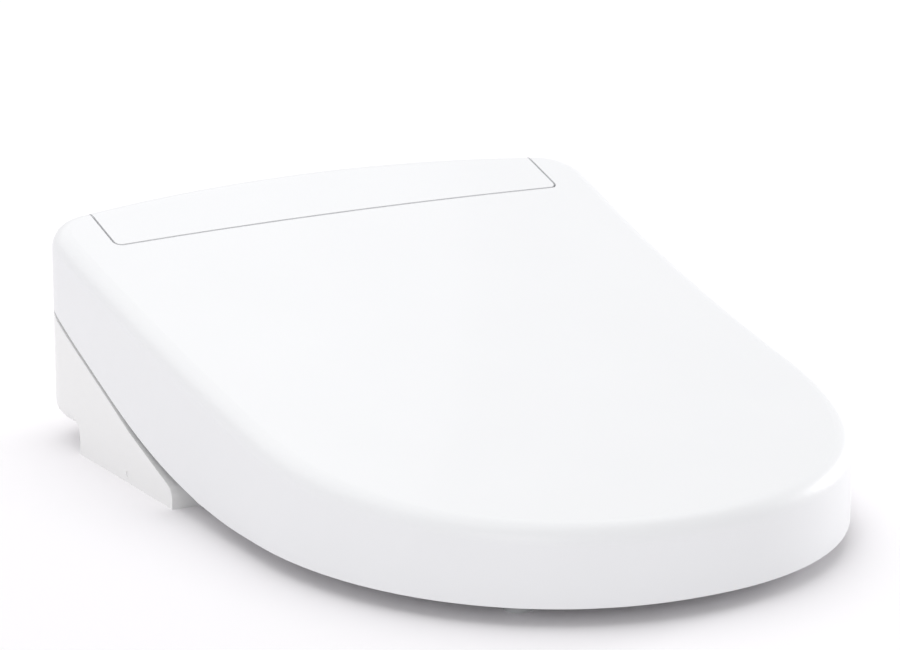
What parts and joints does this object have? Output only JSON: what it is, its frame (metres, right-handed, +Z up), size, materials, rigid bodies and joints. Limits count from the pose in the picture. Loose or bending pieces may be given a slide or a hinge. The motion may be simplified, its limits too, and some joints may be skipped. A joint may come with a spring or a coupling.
{
  "type": "electric bidet seat",
  "caption": "Electric bidet seat with a soft-closing sloped lid, heated seat ring, sliding spray wand, warm-air dryer and a plate that bolts to the bowl.",
  "frame": {"origin": "midway between the two bowl-bolt holes, on the face that lies on the toilet bowl", "axes": "+Z up, -Y towards the front of the seat, +X to the right of someone facing it from the front"},
  "size_m": [0.398, 0.53, 0.1518],
  "materials": {
    "white_gloss": "glossy moulded resin, easily wiped",
    "white_case": "semi-gloss moulded resin",
    "grey_inner": "matt moulded resin",
    "dark_inner": "matt moulded resin",
    "wand_white": "smooth gloss resin",
    "steel": "brushed stainless steel",
    "brass": "turned brass",
    "soft_grey": "soft elastomer",
    "soft_white": "soft translucent elastomer",
    "board_green": "coated circuit board",
    "foil": "etched heater foil",
    "zinc": "cast zinc alloy",
    "clear_blue": "flexible hose"
  },
  "bodies": {
    "mount": {"base_plate": "zinc", "plate_rails": "grey_inner"},
    "unit": {"button_spring": "steel", "case_screws": "steel", "control_board": "board_green", "cord_gland": "soft_grey", "dryer_duct": "dark_inner", "dryer_fan_housing": "dark_inner", "dryer_heater": "zinc", "flow_selector": "dark_inner", "guide_stand": "grey_inner", "heater_tank": "grey_inner", "hinge_wall_bushes": "grey_inner", "inlet_hose": "clear_blue", "lid_drive_gearbox": "dark_inner", "lid_drive_motor": "steel", "lower_case": "white_case", "odour_fan_housing": "dark_inner", "power_board": "board_green", "rear_cover": "white_gloss", "seat_drive_gearbox": "dark_inner", "seat_drive_motor": "steel", "selector_hose": "clear_blue", "side_plug": "soft_grey", "solenoid_valve": "dark_inner", "spring_seat": "grey_inner", "tank_heater": "steel", "tank_hose": "clear_blue", "unit_feet": "soft_grey", "upper_case": "white_case", "wand_guide": "grey_inner", "wand_motor": "steel", "water_inlet": "brass"},
    "seat": {"seat_top": "white_gloss", "seat_base": "white_case", "seat_arm_left": "white_gloss", "seat_arm_right": "white_gloss", "seat_heater": "foil", "seat_stops": "soft_white", "seat_shaft": "steel", "seat_bush": "grey_inner"},
    "lid": {"lid_shell": "white_gloss", "lid_stops": "soft_white", "lid_shaft": "steel", "lid_bush": "grey_inner"},
    "wand": {"wand_tube": "wand_white", "wand_tip": "wand_white", "wand_rack": "grey_inner"},
    "pinion": {"wand_pinion": "grey_inner"},
    "dryer_fan": {"dryer_rotor": "grey_inner"},
    "flap": {"dryer_flap": "white_case"},
    "odour_fan": {"odour_rotor": "grey_inner"},
    "cartridge": {"odour_cartridge": "grey_inner"},
    "button": {"release_button": "white_case"},
    "drain": {"drain_knob": "soft_grey"}
  },
  "joints": [
    {"name": "unit_slide", "type": "slide", "parent": "mount", "child": "unit", "axis": [0, -1, 0], "range_m": [0, 0.06]},
    {"name": "seat_hinge", "type": "hinge", "parent": "unit", "child": "seat", "pos_m": [0, 0.036, 0.1264], "axis": [-1, 0, 0], "range_deg": [0, 100]},
    {"name": "lid_hinge", "type": "hinge", "parent": "seat", "child": "lid", "pos_m": [0, 0.036, 0.1264], "axis": [-1, 0, 0], "range_deg": [0, 105]},
    {"name": "wand_slide", "type": "slide", "parent": "unit", "child": "wand", "axis": [0, -0.9397, -0.342], "range_m": [0, 0.11]},
    {"name": "pinion_spin", "type": "hinge", "parent": "unit", "child": "pinion", "pos_m": [0, -0.08979, 0.06199], "axis": [-1, 0, 0], "range_deg": [0, 890]},
    {"name": "dryer_fan_spin", "type": "hinge", "parent": "unit", "child": "dryer_fan", "pos_m": [0.095, -0.014, 0.04], "axis": [0, 0, 1], "continuous": true},
    {"name": "flap_hinge", "type": "hinge", "parent": "unit", "child": "flap", "pos_m": [0.095, -0.1048, 0.0496], "axis": [1, 0, 0], "range_deg": [0, 60]},
    {"name": "odour_fan_spin", "type": "hinge", "parent": "unit", "child": "odour_fan", "pos_m": [0.092, 0.032, 0.04], "axis": [0, 0, 1], "continuous": true},
    {"name": "cartridge_slide", "type": "slide", "parent": "unit", "child": "cartridge", "axis": [1, 0, 0], "range_m": [0, 0.035]},
    {"name": "button_press", "type": "slide", "parent": "unit", "child": "button", "axis": [-1, 0, 0], "range_m": [0, 0.004], "stiffness_N_per_m": 400, "deforming": ["button_spring"]},
    {"name": "drain_turn", "type": "hinge", "parent": "unit", "child": "drain", "pos_m": [-0.092, 0.024, 0.018], "axis": [0, 0, 1], "range_deg": [0, 90]}
  ],
  "couplings": [
    {"joint": "pinion_spin", "follows": "wand_slide", "rad_per_m": 138.89}
  ]
}
